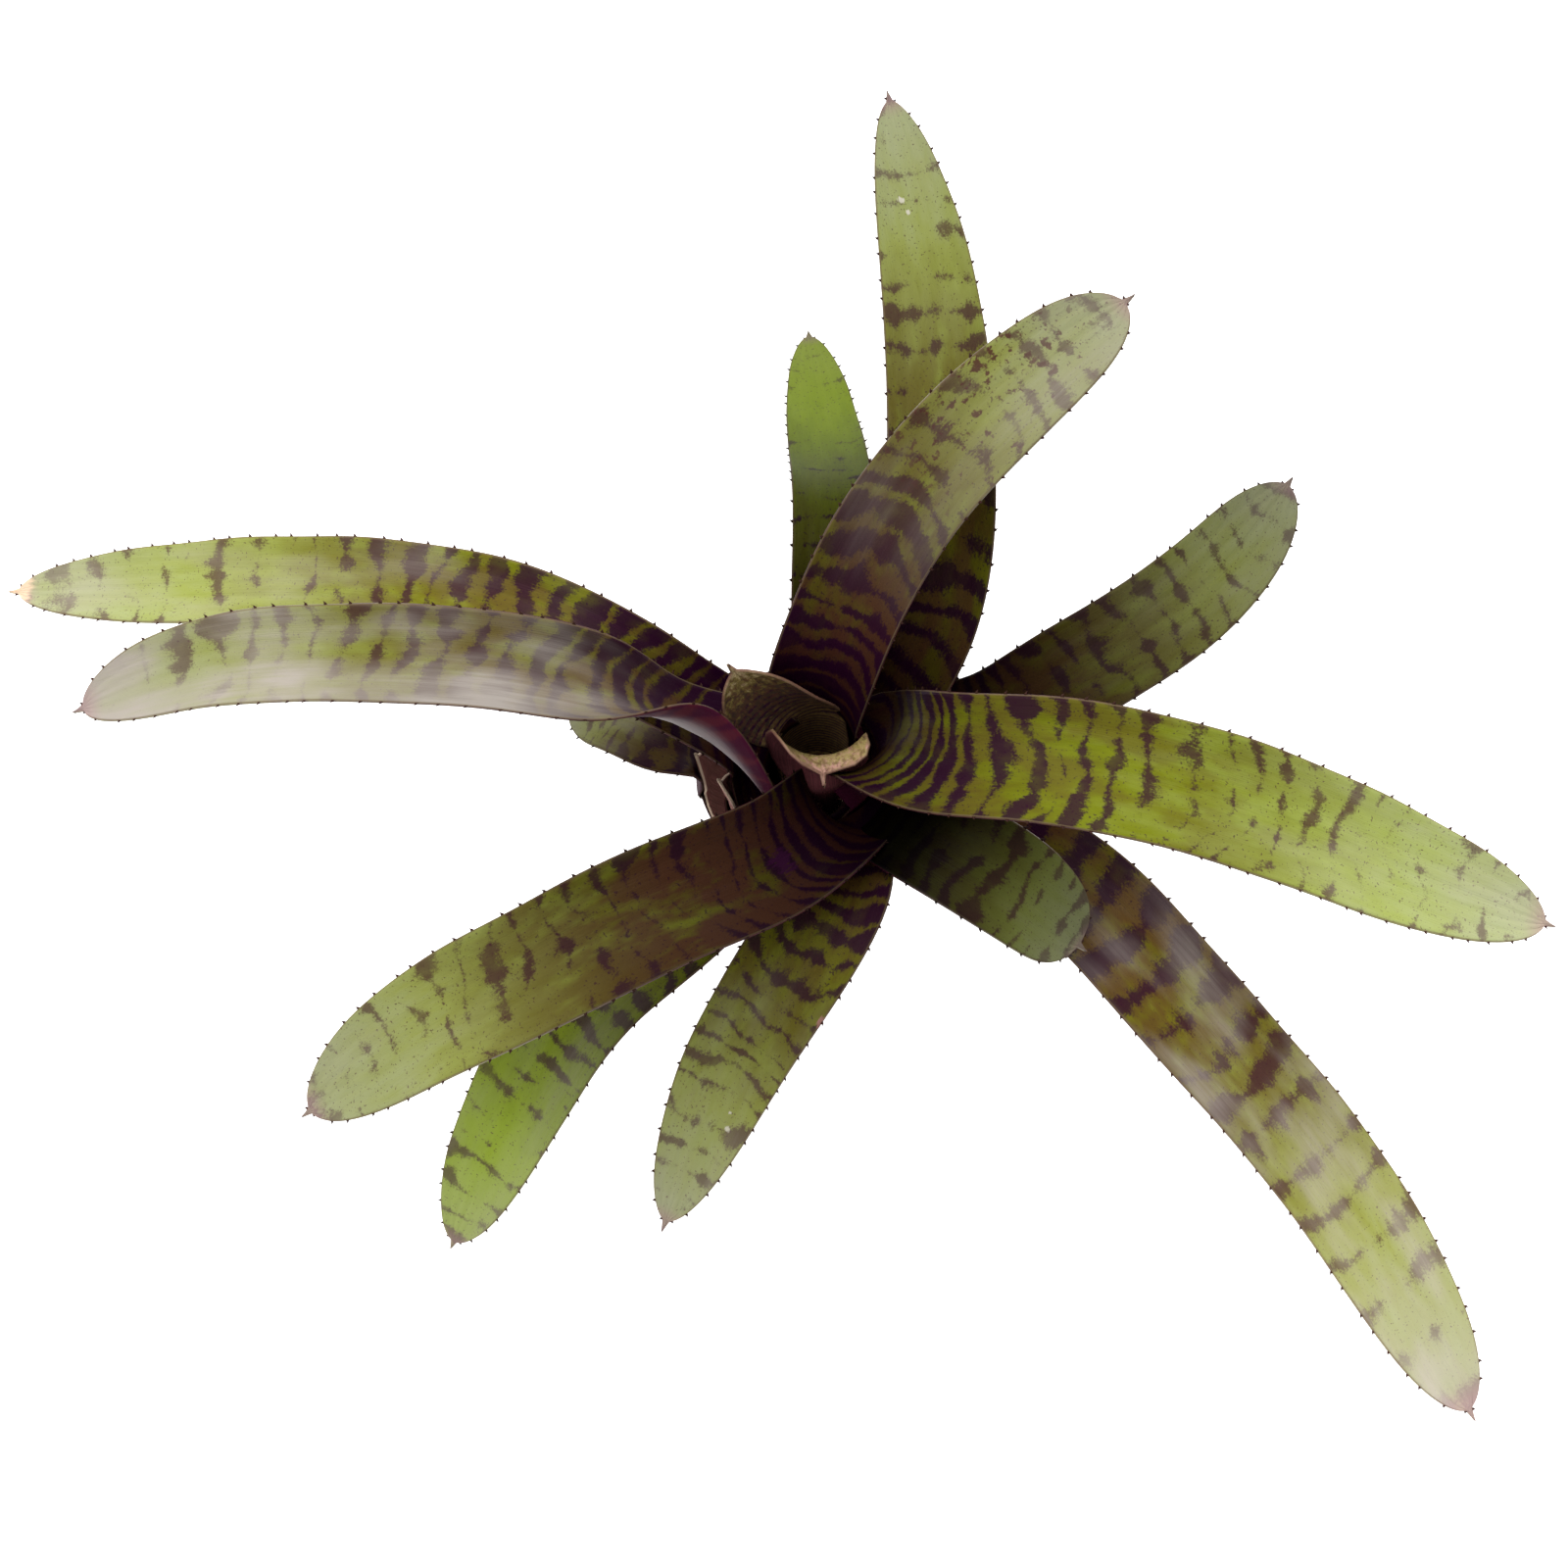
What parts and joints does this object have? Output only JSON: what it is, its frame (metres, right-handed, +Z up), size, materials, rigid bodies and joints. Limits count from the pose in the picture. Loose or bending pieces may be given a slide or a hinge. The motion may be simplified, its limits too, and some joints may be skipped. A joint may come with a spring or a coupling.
{
  "type": "neoregelia bromeliad",
  "caption": "Cut neoregelia bromeliad rosette with dark-banded, spine-edged strap leaves that clasp a short stem and arch out, standing on the stem's flat foot and low leaf tips.",
  "frame": {"origin": "centre of the stem's flat cut foot, on the surface that the plant stands on", "axes": "+Z up the stem, +X to the right and +Y to the top of the picture, whose camera looks down from above"},
  "size_m": [0.419, 0.354, 0.1535],
  "materials": {
    "leaf": "satin leaf skin, olive green with dark maroon cross bands",
    "heart": "satin leaf skin, maroon and cream",
    "dry_scale": "matt, papery and dry",
    "stem": "rough, fibrous"
  },
  "bodies": {
    "root": {"leaf_01": "leaf", "leaf_02": "leaf", "leaf_03": "leaf", "leaf_04": "leaf", "leaf_05": "leaf", "leaf_06": "leaf", "leaf_07": "leaf", "leaf_08": "leaf", "leaf_09": "leaf", "leaf_10": "leaf", "leaf_11": "leaf", "leaf_12": "leaf", "leaf_13": "leaf", "heart_leaf_front": "heart", "heart_leaf_left": "heart", "dry_scale_1": "dry_scale", "dry_scale_2": "dry_scale", "stem": "stem"}
  },
  "joints": []
}
